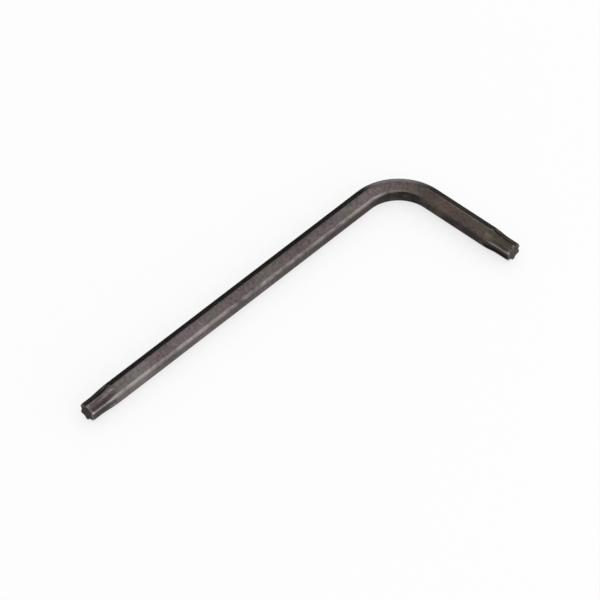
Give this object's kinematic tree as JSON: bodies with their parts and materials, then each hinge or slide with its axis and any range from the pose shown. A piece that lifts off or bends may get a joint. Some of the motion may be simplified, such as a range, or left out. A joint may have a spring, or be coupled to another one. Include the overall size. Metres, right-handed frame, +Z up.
{
  "type": "star key",
  "caption": "L-shaped star key of blackened hexagon bar, bent at a right angle, with a lobed star formed on each end to turn star-recess screws.",
  "frame": {"origin": "middle of the key's outer box in X and Y, on the surface that the key lies on", "axes": "+X along the long arm, from its star tip to the bend; -Y along the short arm, from the bend to its star tip; +Z up, square to the plane of both arms"},
  "size_m": [0.0632, 0.0234, 0.0032],
  "materials": {
    "blackened_steel": "hardened steel, black oxide over drawn bar, satin with lighter worn corners"
  },
  "bodies": {
    "root": {"long_arm": "blackened_steel", "bend": "blackened_steel", "short_arm": "blackened_steel", "long_star_tip": "blackened_steel", "short_star_tip": "blackened_steel"}
  },
  "joints": []
}
